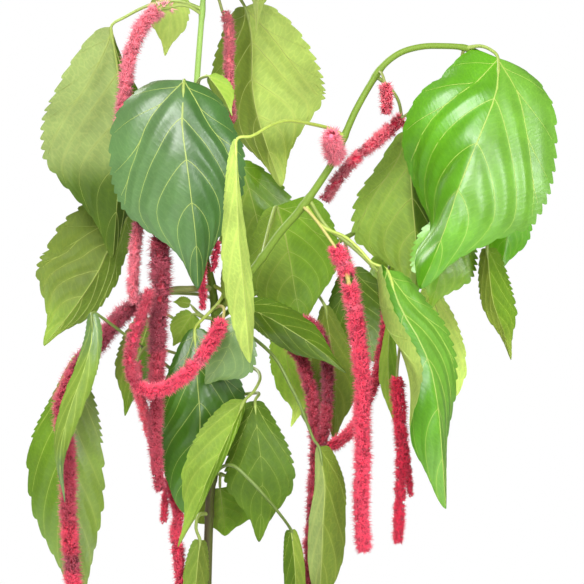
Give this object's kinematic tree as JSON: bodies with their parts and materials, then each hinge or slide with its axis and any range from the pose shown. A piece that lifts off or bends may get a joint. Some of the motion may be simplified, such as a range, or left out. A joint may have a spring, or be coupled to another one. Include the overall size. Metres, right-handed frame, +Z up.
{
  "type": "potted chenille plant",
  "caption": "Potted chenille plant with a woody branched stem, broad toothed leaves and long hanging tufted crimson catkins, in a plain round pot of soil.",
  "frame": {"origin": "middle of the pot's foot, on the surface that the pot stands on", "axes": "+Z up, +Y away from the viewer of the pictured side, +X to that viewer's right"},
  "size_m": [0.4234, 0.2244, 0.8327],
  "materials": {
    "pot": "matte",
    "soil": "matte",
    "bark": "satin",
    "leaf_light": "satin",
    "leaf_dark": "satin",
    "leaf_lime": "satin",
    "leaf_green": "satin",
    "leaf_bright": "satin",
    "leaf_olive": "satin",
    "leaf_pale": "satin",
    "leaf_blue": "satin",
    "catkin_coral": "matte",
    "catkin_red": "matte",
    "catkin_crimson": "matte",
    "catkin_pink": "matte"
  },
  "bodies": {
    "root": {"pot": "pot", "soil": "soil", "stem": "bark", "leaf_upper_left": "leaf_light", "leaf_upper_front": "leaf_dark", "leaf_top_left": "leaf_lime", "leaf_top_center": "leaf_light", "leaf_thin_edge": "leaf_green", "leaf_lime_hanging": "leaf_lime", "leaf_center_back": "leaf_dark", "leaf_upper_right": "leaf_bright", "leaf_right_olive": "leaf_olive", "leaf_center": "leaf_light", "leaf_center_low": "leaf_green", "leaf_right_back": "leaf_bright", "leaf_right_twisted": "leaf_olive", "leaf_right_dark": "leaf_dark", "leaf_right_front": "leaf_bright", "leaf_right_pale": "leaf_pale", "leaf_right_yellow": "leaf_lime", "leaf_right_small": "leaf_dark", "leaf_behind_catkin": "leaf_dark", "leaf_light_low": "leaf_light", "leaf_grey_low": "leaf_pale", "leaf_hooked": "leaf_lime", "leaf_low_front": "leaf_light", "leaf_low_back": "leaf_olive", "leaf_bottom_left": "leaf_light", "leaf_bottom_right": "leaf_olive", "leaf_hanging_low": "leaf_light", "leaf_lower_left": "leaf_bright", "leaf_left_twisted": "leaf_blue", "leaf_left_middle": "leaf_light", "leaf_between_catkins": "leaf_green", "leaf_center_left": "leaf_dark", "leaf_bluish": "leaf_blue", "leaf_stem_strip": "leaf_green", "leaf_crown_left": "leaf_green", "leaf_crown_right": "leaf_pale", "leaf_crown_front": "leaf_bright", "leaf_crown_back": "leaf_green", "sprig_low": "leaf_pale", "sprig_left": "leaf_light", "shoot_tip": "leaf_lime", "catkin_upper_left": "catkin_coral", "catkin_top": "catkin_red", "catkin_left_long": "catkin_crimson", "catkin_left_short": "catkin_pink", "catkin_left_low": "catkin_pink", "catkin_left_thick": "catkin_crimson", "catkin_curved": "catkin_pink", "catkin_low_pair": "catkin_red", "catkin_center_long": "catkin_coral", "catkin_center_slanted": "catkin_red", "catkin_center_pair": "catkin_red", "catkin_right_pair": "catkin_crimson", "catkin_right_upper": "catkin_red", "catkin_right_small": "catkin_pink", "catkin_bud": "catkin_coral", "catkin_stem": "catkin_crimson"}
  },
  "joints": []
}
